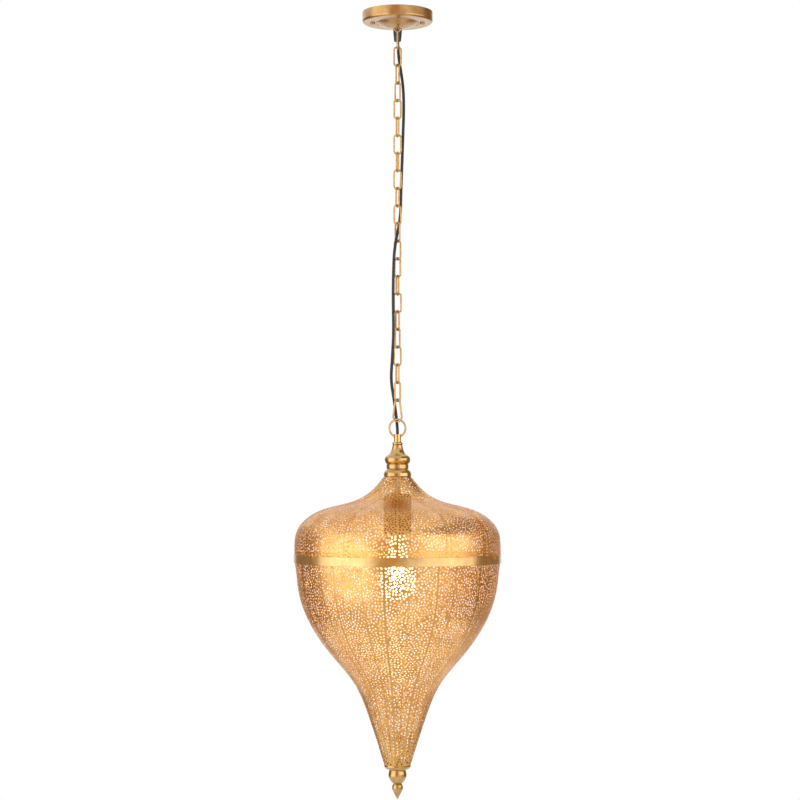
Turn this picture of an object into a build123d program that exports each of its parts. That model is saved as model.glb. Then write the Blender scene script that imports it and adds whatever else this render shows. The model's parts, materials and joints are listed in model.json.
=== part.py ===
from build123d import *

import os
from math import asin, cos, degrees, hypot, radians, sin, sqrt, tan

# A pierced brass pendant lantern on a long-link chain. Millimetres, +Z up.
# The origin is on the ceiling, at the centre of the canopy, and the lantern hangs plumb on the Z axis.

# Clearances
FIT = 0.1
LINK_PLAY = 0.25
BAIL_PLAY = 0.9
CORD_ROOM = 0.4

# Ceiling canopy, a spun cup with a domed middle
CANOPY_DIA = 120
CANOPY_HEIGHT = 18
CANOPY_SHEET = 1.2
CANOPY_EDGE_RADIUS = 4
DOME_DROP = 10
DOME_GROOVE_WIDTH = 1.5
DOME_GROOVE_DEPTH = 0.8
EYE_HOLE_DIA = 16

# Mounting bracket, a strap with turned-in feet, a tapped boss and a tab for the terminal block
STRAP_WIDTH = 20
STRAP_SHEET = 2
FOOT_LENGTH = 8.6
SLOT_SPACING = 60
SLOT_LENGTH = 12
SLOT_DIA = 4.5
BOSS_DIA = 16
BOSS_DROP = 12
TAB_LENGTH = 16
TAB_WIDTH = 26
TERMINAL_WIDTH = 22
TERMINAL_DEPTH = 14
TERMINAL_HEIGHT = 10
TERMINAL_WAYS = 3
TERMINAL_WIRE_DIA = 3

# Canopy screws
CANOPY_SCREW_SPAN = 84
CANOPY_SCREW_DIA = 4
CANOPY_SCREW_LENGTH = 8
CANOPY_SCREW_HEAD_DIA = 8
CANOPY_SCREW_HEAD_HEIGHT = 2.6
SCREW_SLOT_WIDTH = 0.9
SCREW_SLOT_DEPTH = 0.9
SCREW_TO_DOME = 2.5
DOME_DIA = CANOPY_SCREW_SPAN - CANOPY_SCREW_HEAD_DIA - 2 * SCREW_TO_DOME

# Chain eye and its lock nut
EYE_WIRE = 3
EYE_BORE = 6.4
EYE_DROP = 3
EYE_SHANK_DIA = 8
EYE_SHANK_TOP = 4
EYE_NUT_FLATS = 13
EYE_NUT_HEIGHT = 4.5

# Cord grip and its nut
GRIP_OFFSET = 45
GRIP_TOP_DIA = 15
GRIP_END_DIA = 12
GRIP_LENGTH = 22
GRIP_THREAD_DIA = 10
GRIP_NUT_FLATS = 14
GRIP_NUT_HEIGHT = 4
GRIP_THREAD_LENGTH = 8

# Chain of long links, with the turn of each link about the Z axis
CHAIN_WIRE = 3
LINK_LENGTH = 36.25
LINK_WIDTH = 14.9
LINK_TURNS = (90, 0, 66, -46, 20, -72, 12, -75, 14, -66, 20, -52, 30, -36, 72, -4, 64, -50, 18, -70, 40)

# Pear-shaped connecting link and the round bail ring
PEAR_WIRE = 3.2
PEAR_LENGTH = 41
PEAR_TOP_WIDTH = 13
PEAR_BOTTOM_WIDTH = 20
PEAR_TURN = -33
RING_WIRE = 3.2
RING_RADIUS = 14.6
RING_GAP_ANGLE = 30
RING_TURN = 22

# Turned neck: stem, vase, collar and flange on a threaded nipple
STEM_DIA = 12.3
STEM_OVER_PIVOT = 3.5
STEM_HEIGHT = 13.2
STEM_BORE = 6.4
STEM_BEAD_DIA = 18
STEM_BEAD_HEIGHT = 5.5
STEM_THREAD_DEPTH = 9
VASE_NECK_DIA = 16.8
VASE_NECK_HEIGHT = 6.5
VASE_BEAD_DIA = 18
VASE_BEAD_HEIGHT = 2
VASE_SHOULDER_DIA = 38
VASE_SHOULDER_DROP = 7
VASE_DIA = 43.6
VASE_BELLY_DROP = 7.5
VASE_FOOT_DIA = 40
VASE_FOOT_DROP = 9
COLLAR_DIA = 37.4
COLLAR_HEIGHT = 8
COLLAR_EDGE_RADIUS = 1.2
FLANGE_TOP_DIA = 35
FLANGE_DIA = 46.6
FLANGE_HEIGHT = 12
FLANGE_GROOVE_HEIGHT = 2
FLANGE_RIM_HEIGHT = 3
NIPPLE_DIA = 10
NIPPLE_BORE = 7
NIPPLE_NUT_FLATS = 17
NIPPLE_NUT_HEIGHT = 5
TOP_PLATE_DIA = 40.2
TOP_PLATE_SHEET = 1.5

# Shade of soldered gores. Each point of its outlines is a step out or in from the gores' narrow end or widest
# edge, and a drop below the top or the meeting edge
GORES = 12
SEAM_GAP_ANGLE = 0.15
GORE_SHEET = 1
STRAP_GAP = 0.1
SEAM_STRAP_WIDTH = 4
SEAM_STRAP_SHEET = 0.6
SHADE_END_DIA = 44
UPPER_NECK_STEPS = ((18.6, 18), (49, 38))
UPPER_SHOULDER_STEPS = ((-52.9, 52), (-16.5, 72), (-3, 92.3))
UPPER_START_SLOPE = (0.8, -0.6)
UPPER_SHOULDER_DROP = 116
UPPER_HEIGHT = 138
LOWER_SEAM_TURN = -7.3
LOWER_BELLY_STEPS = ((-1.2, 10), (-7.2, 55), (-26.7, 109), (-69.8, 170))
LOWER_TAIL_STEPS = ((49.8, 210.5), (31.2, 251))
LOWER_HEIGHT = 345.5
LOWER_END_SLOPE = (-0.31, -0.95)
EDGE_GAP = 1

# Band and its screws
BAND_DIA = 350
BAND_SHEET = 1.2
BAND_HEIGHT = 14.5
BAND_OVER_EDGE = 7
BAND_EDGE_RADIUS = 0.4
BAND_SCREWS = 3
BAND_SCREW_AZIMUTH = 217.5
BAND_SCREW_RISE = 3.5
BAND_SCREW_DIA = 3
BAND_SCREW_LENGTH = 7
BAND_SCREW_HEAD_DIA = 5.5
BAND_SCREW_HEAD_HEIGHT = 1.8
BAND_NUT_FLATS = 5.5
BAND_NUT_HEIGHT = 2.4

# Bottom collar and finial
SPIGOT_DIA = 40.2
SPIGOT_HEIGHT = 5
BOTTOM_RIM_DIA = 45
BOTTOM_RIM_HEIGHT = 1.8
BOTTOM_LIP_DIA = 33
BOTTOM_LIP_DROP = 6
FINIAL_NECK_DIA = 28.4
FINIAL_NECK_DROP = 2.5
FINIAL_BALL_DIA = 30.6
FINIAL_BALL_DROP = 12
FINIAL_WAIST_DIA = 15.6
FINIAL_WAIST_DROP = 26
FINIAL_BEAD_DIA = 17.2
FINIAL_BEAD_HEIGHT = 5.5
FINIAL_CONE_DIA = 15.6
FINIAL_CONE_HEIGHT = 17.5
FINIAL_TIP_DIA = 1.6
FINIAL_STUD_DIA = 6
FINIAL_STUD_RISE = 6.5
FINIAL_NUT_FLATS = 10
FINIAL_NUT_HEIGHT = 5

# Lamp socket
SOCKET_DROP = 29
SOCKET_DIA = 46.5
SOCKET_SHEET = 1.2
SOCKET_CAP_HEIGHT = 18
SOCKET_CAP_TOP_DIA = 17
SOCKET_CAP_NECK = 3
SOCKET_SHELL_HEIGHT = 50
SOCKET_LIP_DIA = 36
INSERT_HEIGHT = 42
INSERT_BORE = 28.4
INSERT_DEPTH = 25
CONTACT_DIA = 10
CONTACT_SHEET = 1
NIPPLE_IN_CAP = 6

# Bulb
BULB_GAP = 0.3
BULB_CAP_DIA = 26.2
BULB_CAP_LENGTH = 27
BULB_CAP_SHEET = 0.5
BULB_CONTACT_DIA = 9
BULB_INSULATOR_DROP = 5
BULB_NECK_DIA = 24.6
BULB_NECK_IN_CAP = 6
BULB_NECK_LENGTH = 14
BULB_DIA = 62
BULB_BELLY_DROP = 72
BULB_LENGTH = 112
BULB_GLASS = 0.8
FLARE_DIA = 20
MOUNT_DIA = 7
MOUNT_LENGTH = 56
FILAMENTS = 6
FILAMENT_DIA = 2.2
FILAMENT_LENGTH = 38
FILAMENT_CIRCLE = 18
SPIDER_SHEET = 1

# Power cord, with its route chosen by hand beside and through the chain
CORD_DIA = 5
CORD_ARC_SHARE = 0.45
CORD_ROUTE = (
    (0, 45, -12),
    (0.3, 44.8, -58),
    (5.5, 35, -92),
    (9.8, 21.5, -124),
    (10.8, 11.4, -164),
    (9.2, 8.6, -212),
    (7.6, 9.6, -260),
    (5.8, 11.0, -306),
    (5.2, 13.0, -350),
    (-5.2, -13.0, -402),
    (-7.0, -10.0, -444),
    (-7.6, -9.0, -492),
    (-6.4, -10.0, -545),
    (-8.8, -8.6, -590),
    (-11.4, 2.8, -626),
    (-6.6, 11.4, -656),
    (-3.0, 10.0, -680),
    (-1.2, 7.0, -698),
    (0, 0, -711),
    (0, 0, -718.4),
)


def hexagon(across_flats):
    """The corner radius of a hexagon of the given width across its flats."""
    return across_flats / 2 / cos(radians(30))


def sheet_outline(points, slopes, outer_depth, inner_depth):
    """The closed outline of a curved sheet, between two depths on the right of a curve through the points."""
    guide = Spline(*points, tangents=slopes, mode=Mode.PRIVATE)
    edges_of_sheet = []
    for depth in (outer_depth, inner_depth):
        moved = []
        for point in points:
            heading = guide.tangent_at(guide.param_at_point(point))
            moved.append(Vector(*point) + depth * Vector(heading.Y, -heading.X))
        edges_of_sheet.append(Spline(*moved, tangents=slopes))
    outer, inner = edges_of_sheet
    Line(outer @ 0, inner @ 0)
    Line(outer @ 1, inner @ 1)


# Levels along the Z axis, worked out from the ceiling down
canopy_floor = -CANOPY_HEIGHT
canopy_inside = canopy_floor + CANOPY_SHEET
dome_bottom = canopy_floor - DOME_DROP
eye_hook = dome_bottom - EYE_DROP - EYE_WIRE / 2
link_reach = LINK_LENGTH - CHAIN_WIRE
link_levels = []
hook = eye_hook
hook_wire = EYE_WIRE
for turn in LINK_TURNS:
    link_top = hook + (hook_wire + CHAIN_WIRE) / 2 + LINK_PLAY
    link_levels.append(link_top - link_reach / 2)
    hook = link_top - link_reach
    hook_wire = CHAIN_WIRE
pear_top = hook + (CHAIN_WIRE + PEAR_WIRE) / 2 + LINK_PLAY
pear_hook = pear_top - (PEAR_LENGTH - PEAR_WIRE)
ring_top = pear_hook + (PEAR_WIRE + RING_WIRE) / 2 + LINK_PLAY
ring_centre = ring_top - RING_RADIUS
stem_wall_middle = (STEM_DIA + STEM_BORE) / 4
ring_pivot = ring_centre - sqrt(RING_RADIUS**2 - stem_wall_middle**2)
stem_top = ring_pivot + STEM_OVER_PIVOT
stem_bead_top = stem_top - STEM_HEIGHT
vase_top = stem_bead_top - STEM_BEAD_HEIGHT
vase_bead = vase_top - VASE_NECK_HEIGHT
vase_shoulder = vase_bead - VASE_BEAD_HEIGHT - VASE_SHOULDER_DROP
vase_belly = vase_shoulder - VASE_BELLY_DROP
collar_top = vase_belly - VASE_FOOT_DROP
flange_top = collar_top - COLLAR_HEIGHT
shade_top = flange_top - FLANGE_HEIGHT
nut_top = shade_top - TOP_PLATE_SHEET
upper_edge = shade_top - UPPER_HEIGHT
lower_edge = upper_edge - EDGE_GAP
band_top = upper_edge + BAND_OVER_EDGE
lower_end = lower_edge - LOWER_HEIGHT
socket_top = shade_top - SOCKET_DROP
shell_top = socket_top - SOCKET_CAP_HEIGHT
shell_bottom = shell_top - SOCKET_SHELL_HEIGHT
insert_bottom = shell_bottom + SOCKET_SHEET
insert_roof = insert_bottom + INSERT_DEPTH
bulb_top = insert_roof - CONTACT_SHEET - BULB_GAP
bulb_cap_end = bulb_top - BULB_CAP_LENGTH
bulb_neck = bulb_cap_end + BULB_NECK_IN_CAP
bulb_belly = bulb_cap_end - BULB_BELLY_DROP
bulb_end = bulb_cap_end - BULB_LENGTH
gore_radius = BAND_DIA / 2 - BAND_SHEET - FIT
gore_angle = 360 / GORES - SEAM_GAP_ANGLE
nipple_hole = NIPPLE_DIA / 2 + FIT


# Ceiling canopy: a sheet profile turned about the axis, with holes for the screws and the cord grip
with BuildPart() as ceiling_canopy:
    rim = CANOPY_DIA / 2
    dome_rim = DOME_DIA / 2
    eye_hole = EYE_HOLE_DIA / 2
    dome_centre = (dome_rim**2 - eye_hole**2 - DOME_DROP**2) / (2 * DOME_DROP)
    with BuildSketch(Plane.XZ):
        with BuildLine():
            Line((rim, 0), (rim, canopy_floor + CANOPY_EDGE_RADIUS))
            RadiusArc(
                (rim, canopy_floor + CANOPY_EDGE_RADIUS),
                (rim - CANOPY_EDGE_RADIUS, canopy_floor),
                CANOPY_EDGE_RADIUS,
            )
            Polyline(
                (rim - CANOPY_EDGE_RADIUS, canopy_floor),
                (dome_rim + DOME_GROOVE_WIDTH, canopy_floor),
                (dome_rim + DOME_GROOVE_WIDTH / 2, canopy_floor + DOME_GROOVE_DEPTH),
                (dome_rim, canopy_floor),
            )
            RadiusArc((dome_rim, canopy_floor), (eye_hole, dome_bottom), hypot(dome_rim, dome_centre))
            offset(amount=CANOPY_SHEET, side=Side.RIGHT)
        make_face()
    revolve(axis=Axis.Z)
    with BuildSketch(Plane.XY.offset(canopy_floor)):
        with Locations((-CANOPY_SCREW_SPAN / 2, 0), (CANOPY_SCREW_SPAN / 2, 0)):
            Circle(CANOPY_SCREW_DIA / 2 + FIT)
        with Locations((0, GRIP_OFFSET)):
            Circle(GRIP_THREAD_DIA / 2 + FIT)
    extrude(amount=CANOPY_SHEET, mode=Mode.SUBTRACT)

# Mounting bracket: a bent strap against the ceiling, its feet seated on the canopy floor
with BuildPart() as mounting_bracket:
    leg = CANOPY_SCREW_SPAN / 2 + FOOT_LENGTH / 2
    with BuildSketch(Plane.XZ):
        with BuildLine():
            Polyline(
                (-leg + FOOT_LENGTH, canopy_inside),
                (-leg, canopy_inside),
                (-leg, 0),
                (leg, 0),
                (leg, canopy_inside),
                (leg - FOOT_LENGTH, canopy_inside),
            )
            offset(amount=STRAP_SHEET, side=Side.RIGHT, kind=Kind.INTERSECTION)
        make_face()
    extrude(amount=STRAP_WIDTH / 2, both=True)
    with BuildSketch(Plane.XY):
        with Locations((0, -(STRAP_WIDTH + TAB_LENGTH) / 2)):
            Rectangle(TAB_WIDTH, TAB_LENGTH)
    extrude(amount=-STRAP_SHEET)
    with BuildSketch(Plane.XY.offset(-STRAP_SHEET)):
        Circle(BOSS_DIA / 2)
    extrude(amount=STRAP_SHEET - BOSS_DROP)
    with BuildSketch(Plane.XY.offset(-BOSS_DROP)):
        Circle(EYE_SHANK_DIA / 2 + FIT)
    extrude(amount=BOSS_DROP - STRAP_SHEET, mode=Mode.SUBTRACT)
    with BuildSketch(Plane.XY):
        with GridLocations(SLOT_SPACING, 0, 2, 1):
            SlotCenterToCenter(SLOT_LENGTH - SLOT_DIA, SLOT_DIA)
    extrude(amount=-STRAP_SHEET, mode=Mode.SUBTRACT)
    with BuildSketch(Plane.XY.offset(canopy_inside)):
        with GridLocations(CANOPY_SCREW_SPAN, 0, 2, 1):
            Circle(CANOPY_SCREW_DIA / 2 + FIT)
    extrude(amount=STRAP_SHEET, mode=Mode.SUBTRACT)

# Terminal block under the bracket's tab, with its wire ways
with BuildPart() as terminal_block:
    block_y = -(STRAP_WIDTH + TAB_LENGTH) / 2
    with BuildSketch(Plane.XY.offset(-STRAP_SHEET)):
        with Locations((0, block_y)):
            Rectangle(TERMINAL_WIDTH, TERMINAL_DEPTH)
    extrude(amount=-TERMINAL_HEIGHT)
    way_plane = Plane.XZ.offset(-block_y)
    with BuildSketch(way_plane):
        with Locations((0, -STRAP_SHEET - TERMINAL_HEIGHT / 2)):
            with GridLocations(TERMINAL_WIDTH / TERMINAL_WAYS, 0, TERMINAL_WAYS, 1):
                Circle(TERMINAL_WIRE_DIA / 2)
    extrude(amount=TERMINAL_DEPTH, both=True, mode=Mode.SUBTRACT)

# Canopy screws: slotted round heads under the canopy, shanks up through the bracket's feet
with BuildPart() as canopy_screws:
    with BuildSketch(Plane.XY.offset(canopy_floor)):
        with GridLocations(CANOPY_SCREW_SPAN, 0, 2, 1):
            Circle(CANOPY_SCREW_HEAD_DIA / 2)
    extrude(amount=-CANOPY_SCREW_HEAD_HEIGHT)
    fillet(edges().group_by(Axis.Z)[0], CANOPY_SCREW_HEAD_HEIGHT / 2)
    with BuildSketch(Plane.XY.offset(canopy_floor)):
        with GridLocations(CANOPY_SCREW_SPAN, 0, 2, 1):
            Circle(CANOPY_SCREW_DIA / 2)
    extrude(amount=CANOPY_SCREW_LENGTH)
    with BuildSketch(Plane.XY.offset(canopy_floor - CANOPY_SCREW_HEAD_HEIGHT)):
        with GridLocations(CANOPY_SCREW_SPAN, 0, 2, 1):
            Rectangle(CANOPY_SCREW_HEAD_DIA, SCREW_SLOT_WIDTH)
    extrude(amount=SCREW_SLOT_DEPTH, mode=Mode.SUBTRACT)

# Chain eye: a ring of wire across the X axis, with a threaded shank up into the bracket's boss
with BuildPart() as chain_eye:
    eye_radius = (EYE_BORE + EYE_WIRE) / 2
    eye_centre = eye_hook + eye_radius
    with BuildSketch(Plane.XY.offset(eye_centre)):
        with Locations((eye_radius, 0)):
            Circle(EYE_WIRE / 2)
    revolve(axis=Axis((0, 0, eye_centre), (0, 1, 0)))
    with BuildSketch(Plane.XY.offset(-EYE_SHANK_TOP)):
        Circle(EYE_SHANK_DIA / 2)
    extrude(amount=eye_centre + eye_radius + EYE_SHANK_TOP)

with BuildPart() as eye_nut:
    with BuildSketch(Plane.XY.offset(-BOSS_DROP)):
        RegularPolygon(hexagon(EYE_NUT_FLATS), 6)
        Circle(EYE_SHANK_DIA / 2 + FIT, mode=Mode.SUBTRACT)
    extrude(amount=-EYE_NUT_HEIGHT)

# Cord grip: a tapered sleeve under the canopy floor, held by a nut inside
with BuildPart() as cord_grip:
    grip_bore = CORD_DIA / 2 + CORD_ROOM
    grip_end = canopy_floor - GRIP_LENGTH
    with BuildSketch(Plane.XZ):
        with BuildLine():
            Polyline(
                (grip_bore, canopy_floor + GRIP_THREAD_LENGTH),
                (GRIP_THREAD_DIA / 2, canopy_floor + GRIP_THREAD_LENGTH),
                (GRIP_THREAD_DIA / 2, canopy_floor),
                (GRIP_TOP_DIA / 2, canopy_floor),
                (GRIP_TOP_DIA / 2, canopy_floor - GRIP_LENGTH / 4),
                (GRIP_END_DIA / 2, grip_end),
                (grip_bore, grip_end),
                close=True,
            )
        make_face()
    revolve(axis=Axis.Z)
    fillet(edges().group_by(Axis.Z)[0].sort_by(SortBy.RADIUS)[-1], (GRIP_END_DIA / 2 - grip_bore) / 3)
cord_grip.part.locate(Location((0, GRIP_OFFSET, 0)))

with BuildPart() as cord_grip_nut:
    with BuildSketch(Plane.XY.offset(canopy_inside)):
        with Locations((0, GRIP_OFFSET)):
            RegularPolygon(hexagon(GRIP_NUT_FLATS), 6)
            Circle(GRIP_THREAD_DIA / 2 + FIT, mode=Mode.SUBTRACT)
    extrude(amount=GRIP_NUT_HEIGHT)

# One long link in the XZ plane about the origin: two straight legs and two half-round bends
with BuildPart() as link_pattern:
    bend_radius = (LINK_WIDTH - CHAIN_WIRE) / 2
    leg_half = (LINK_LENGTH - LINK_WIDTH) / 2
    with BuildSketch(Plane.XY):
        with Locations((-bend_radius, 0), (bend_radius, 0)):
            Circle(CHAIN_WIRE / 2)
    extrude(amount=leg_half, both=True)
    for end, half_turn in ((leg_half, -180), (-leg_half, 180)):
        with BuildSketch(Plane.XY.offset(end)):
            with Locations((bend_radius, 0)):
                Circle(CHAIN_WIRE / 2)
        revolve(axis=Axis((0, 0, end), (0, 1, 0)), revolution_arc=half_turn)

chain_links = []
for turn, level in zip(LINK_TURNS, link_levels):
    with BuildPart() as chain_link:
        with Locations(Location((0, 0, level), (0, 0, turn))):
            add(link_pattern.part)
    chain_links.append(chain_link)

# Pear-shaped link: a small bend over the last chain link and a wide one under the bail ring
with BuildPart() as pear_link:
    small_bend = (PEAR_TOP_WIDTH - PEAR_WIRE) / 2
    wide_bend = (PEAR_BOTTOM_WIDTH - PEAR_WIRE) / 2
    small_centre = pear_top - small_bend
    wide_centre = pear_hook + wide_bend
    lean = asin((wide_bend - small_bend) / (small_centre - wide_centre))
    pear_across = Vector(cos(radians(PEAR_TURN)), sin(radians(PEAR_TURN)), 0)
    pear_plane = Plane((0, 0, 0), x_dir=pear_across, z_dir=pear_across.cross(Vector(0, 0, 1)))
    small_side = (small_bend * cos(lean), small_centre + small_bend * sin(lean))
    wide_side = (wide_bend * cos(lean), wide_centre + wide_bend * sin(lean))
    with BuildLine(pear_plane):
        Line(wide_side, small_side)
        ThreePointArc(small_side, (0, pear_top), (-small_side[0], small_side[1]))
        Line((-small_side[0], small_side[1]), (-wide_side[0], wide_side[1]))
        ThreePointArc((-wide_side[0], wide_side[1]), (0, pear_hook), wide_side)
    with BuildSketch(Plane(pear_plane.from_local_coords(Vector(*wide_side, 0)), z_dir=(0, 0, 1))):
        Circle(PEAR_WIRE / 2)
    sweep()

# Bail ring: an open ring of wire whose two ends turn in the cross holes of the stem
with BuildPart() as bail_ring:
    ring_across = Vector(cos(radians(RING_TURN)), sin(radians(RING_TURN)), 0)
    ring_middle = Vector(0, 0, ring_centre)
    ring_axis = ring_across.cross(Vector(0, 0, 1))
    end_arm = Vector(0, 0, -RING_RADIUS).rotate(Axis((0, 0, 0), ring_axis), RING_GAP_ANGLE / 2)
    with BuildSketch(Plane(ring_middle + end_arm, x_dir=end_arm, z_dir=ring_axis.cross(end_arm))):
        Circle(RING_WIRE / 2)
    revolve(axis=Axis(ring_middle, ring_axis), revolution_arc=360 - RING_GAP_ANGLE)

# Neck stem: a turned sleeve with cross holes for the ring, a bore for the cord and a seat for the nipple
with BuildPart() as neck_stem:
    stem = STEM_DIA / 2
    bead = STEM_BEAD_DIA / 2
    with BuildSketch(Plane.XZ):
        with BuildLine():
            Polyline((stem, stem_bead_top), (stem, stem_top), (STEM_BORE / 2, stem_top))
            Polyline(
                (STEM_BORE / 2, stem_top),
                (STEM_BORE / 2, vase_top + STEM_THREAD_DEPTH),
                (nipple_hole, vase_top + STEM_THREAD_DEPTH),
                (nipple_hole, vase_top),
                (stem, vase_top),
            )
            ThreePointArc((stem, vase_top), (bead, (stem_bead_top + vase_top) / 2), (stem, stem_bead_top))
        make_face()
    revolve(axis=Axis.Z)
    cross_plane = Plane((0, 0, ring_pivot), x_dir=(0, 0, 1), z_dir=ring_across)
    with BuildSketch(cross_plane):
        Circle(RING_WIRE / 2 + BAIL_PLAY)
    extrude(amount=STEM_DIA, both=True, mode=Mode.SUBTRACT)

# Neck vase: a slim neck with a bead, flaring out to a round belly
with BuildPart() as neck_vase:
    neck = VASE_NECK_DIA / 2
    with BuildSketch(Plane.XZ):
        with BuildLine():
            Polyline((nipple_hole, collar_top), (nipple_hole, vase_top), (neck, vase_top), (neck, vase_bead))
            ThreePointArc(
                (neck, vase_bead),
                (VASE_BEAD_DIA / 2, vase_bead - VASE_BEAD_HEIGHT / 2),
                (neck, vase_bead - VASE_BEAD_HEIGHT),
            )
            Spline(
                (neck, vase_bead - VASE_BEAD_HEIGHT),
                (VASE_SHOULDER_DIA / 2, vase_shoulder),
                (VASE_DIA / 2, vase_belly),
                (VASE_FOOT_DIA / 2, collar_top),
                tangents=((0, -1), (-0.4, -1)),
            )
            Line((VASE_FOOT_DIA / 2, collar_top), (nipple_hole, collar_top))
        make_face()
    revolve(axis=Axis.Z)

with BuildPart() as neck_collar:
    with BuildSketch(Plane.XY.offset(collar_top)):
        Circle(COLLAR_DIA / 2)
        Circle(nipple_hole, mode=Mode.SUBTRACT)
    extrude(amount=-COLLAR_HEIGHT)
    fillet(edges().filter_by(GeomType.CIRCLE).group_by(SortBy.RADIUS)[-1], COLLAR_EDGE_RADIUS)

# Neck flange: a bell that flares from a groove out to a plain rim on the shade
with BuildPart() as neck_flange:
    groove_end = flange_top - FLANGE_GROOVE_HEIGHT
    rim_top = shade_top + FLANGE_RIM_HEIGHT
    with BuildSketch(Plane.XZ):
        with BuildLine():
            Polyline(
                (nipple_hole, shade_top),
                (nipple_hole, flange_top),
                (FLANGE_TOP_DIA / 2, flange_top),
                (FLANGE_TOP_DIA / 2, groove_end),
            )
            Spline(
                (FLANGE_TOP_DIA / 2, groove_end),
                (FLANGE_DIA / 2, rim_top),
                tangents=((0.5, -1), (0.3, -1)),
            )
            Polyline((FLANGE_DIA / 2, rim_top), (FLANGE_DIA / 2, shade_top), (nipple_hole, shade_top))
        make_face()
    revolve(axis=Axis.Z)

with BuildPart() as threaded_nipple:
    with BuildSketch(Plane.XY.offset(vase_top + STEM_THREAD_DEPTH - FIT)):
        Circle(NIPPLE_DIA / 2)
        Circle(NIPPLE_BORE / 2, mode=Mode.SUBTRACT)
    extrude(amount=socket_top - NIPPLE_IN_CAP - (vase_top + STEM_THREAD_DEPTH - FIT))

with BuildPart() as shade_top_plate:
    with BuildSketch(Plane.XY.offset(shade_top)):
        Circle(TOP_PLATE_DIA / 2)
        Circle(nipple_hole, mode=Mode.SUBTRACT)
    extrude(amount=-TOP_PLATE_SHEET)

with BuildPart() as nipple_nut:
    with BuildSketch(Plane.XY.offset(nut_top)):
        RegularPolygon(hexagon(NIPPLE_NUT_FLATS), 6)
        Circle(nipple_hole, mode=Mode.SUBTRACT)
    extrude(amount=-NIPPLE_NUT_HEIGHT)


def outline_points(start, steps, top):
    """Points of a gore's outline at steps out from a radius, in whole micrometres, and drops below a level."""
    return [(round(start + step, 3), top - drop) for step, drop in steps]


# Outer lines of the gores: an S-curve from the neck down into the band, and from there down to the finial
gore_end = SHADE_END_DIA / 2
upper_points = [(gore_end, shade_top)]
upper_points += outline_points(gore_end, UPPER_NECK_STEPS, shade_top)
upper_points += outline_points(gore_radius, UPPER_SHOULDER_STEPS, shade_top)
upper_points += [(gore_radius, shade_top - UPPER_SHOULDER_DROP), (gore_radius, upper_edge)]
upper_slopes = (UPPER_START_SLOPE, (0, -1))
lower_points = [(gore_radius, lower_edge)]
lower_points += outline_points(gore_radius, LOWER_BELLY_STEPS, lower_edge)
lower_points += outline_points(gore_end, LOWER_TAIL_STEPS, lower_edge)
lower_points += [(gore_end, lower_end)]
lower_slopes = ((0, -1), LOWER_END_SLOPE)


def gore_set(points, slopes, turn):
    """Thin curved gores side by side all round the axis, from one outline."""
    with BuildPart() as gore:
        with BuildSketch(Plane.XZ):
            with BuildLine():
                sheet_outline(points, slopes, 0, GORE_SHEET)
            make_face()
        revolve(axis=Axis.Z, revolution_arc=gore_angle)
    with BuildPart() as gores:
        with PolarLocations(0, GORES, start_angle=turn + SEAM_GAP_ANGLE / 2):
            add(gore.part)
    return gores


def seam_strap_set(points, slopes, turn):
    """Narrow straps behind the seams, each following the inside of the gores."""
    strap_face = GORE_SHEET + STRAP_GAP
    with BuildPart() as strap:
        with BuildSketch(Plane.XZ):
            with BuildLine():
                sheet_outline(points, slopes, strap_face, strap_face + SEAM_STRAP_SHEET)
            make_face()
        extrude(amount=SEAM_STRAP_WIDTH / 2, both=True)
    with BuildPart() as straps:
        with PolarLocations(0, GORES, start_angle=turn):
            add(strap.part)
    return straps


# Planes of the screws that hold the upper half in the band, facing outward on the band's face
screw_level = upper_edge + BAND_SCREW_RISE
screw_planes = []
for screw in range(BAND_SCREWS):
    azimuth = radians(BAND_SCREW_AZIMUTH + screw * 360 / BAND_SCREWS)
    outward = Vector(cos(azimuth), sin(azimuth), 0)
    screw_planes.append(Plane(outward * (BAND_DIA / 2) + Vector(0, 0, screw_level), z_dir=outward))

# The two halves of the shade, the upper one drilled for the band's screws
undrilled_gores = gore_set(upper_points, upper_slopes, 0)
with BuildPart() as upper_gores:
    add(undrilled_gores.part)
    with BuildSketch(*screw_planes):
        Circle(BAND_SCREW_DIA / 2 + FIT)
    extrude(amount=-BAND_SCREW_LENGTH, mode=Mode.SUBTRACT)
upper_seam_straps = seam_strap_set(upper_points, upper_slopes, 0)
lower_gores = gore_set(lower_points, lower_slopes, LOWER_SEAM_TURN)
lower_seam_straps = seam_strap_set(lower_points, lower_slopes, LOWER_SEAM_TURN)

# Band over the meeting edges of the two halves, with its screws and their nuts
with BuildPart() as shade_band:
    with BuildSketch(Plane.XY.offset(band_top)):
        Circle(BAND_DIA / 2)
        Circle(BAND_DIA / 2 - BAND_SHEET, mode=Mode.SUBTRACT)
    extrude(amount=-BAND_HEIGHT)
    fillet(edges().filter_by(GeomType.CIRCLE).group_by(SortBy.RADIUS)[-1], BAND_EDGE_RADIUS)
    with BuildSketch(*screw_planes):
        Circle(BAND_SCREW_DIA / 2 + FIT)
    extrude(amount=-BAND_SCREW_LENGTH, mode=Mode.SUBTRACT)

with BuildPart() as band_screws:
    with BuildSketch(*screw_planes):
        Circle(BAND_SCREW_DIA / 2)
    extrude(amount=-BAND_SCREW_LENGTH)
    with BuildSketch(*screw_planes):
        Circle(BAND_SCREW_HEAD_DIA / 2)
    extrude(amount=BAND_SCREW_HEAD_HEIGHT)

with BuildPart() as band_nuts:
    nut_seat = BAND_SHEET + FIT + GORE_SHEET + FIT
    with BuildSketch(*[plane.offset(-nut_seat) for plane in screw_planes]):
        RegularPolygon(hexagon(BAND_NUT_FLATS), 6)
        Circle(BAND_SCREW_DIA / 2 + FIT, mode=Mode.SUBTRACT)
    extrude(amount=-BAND_NUT_HEIGHT)

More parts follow.
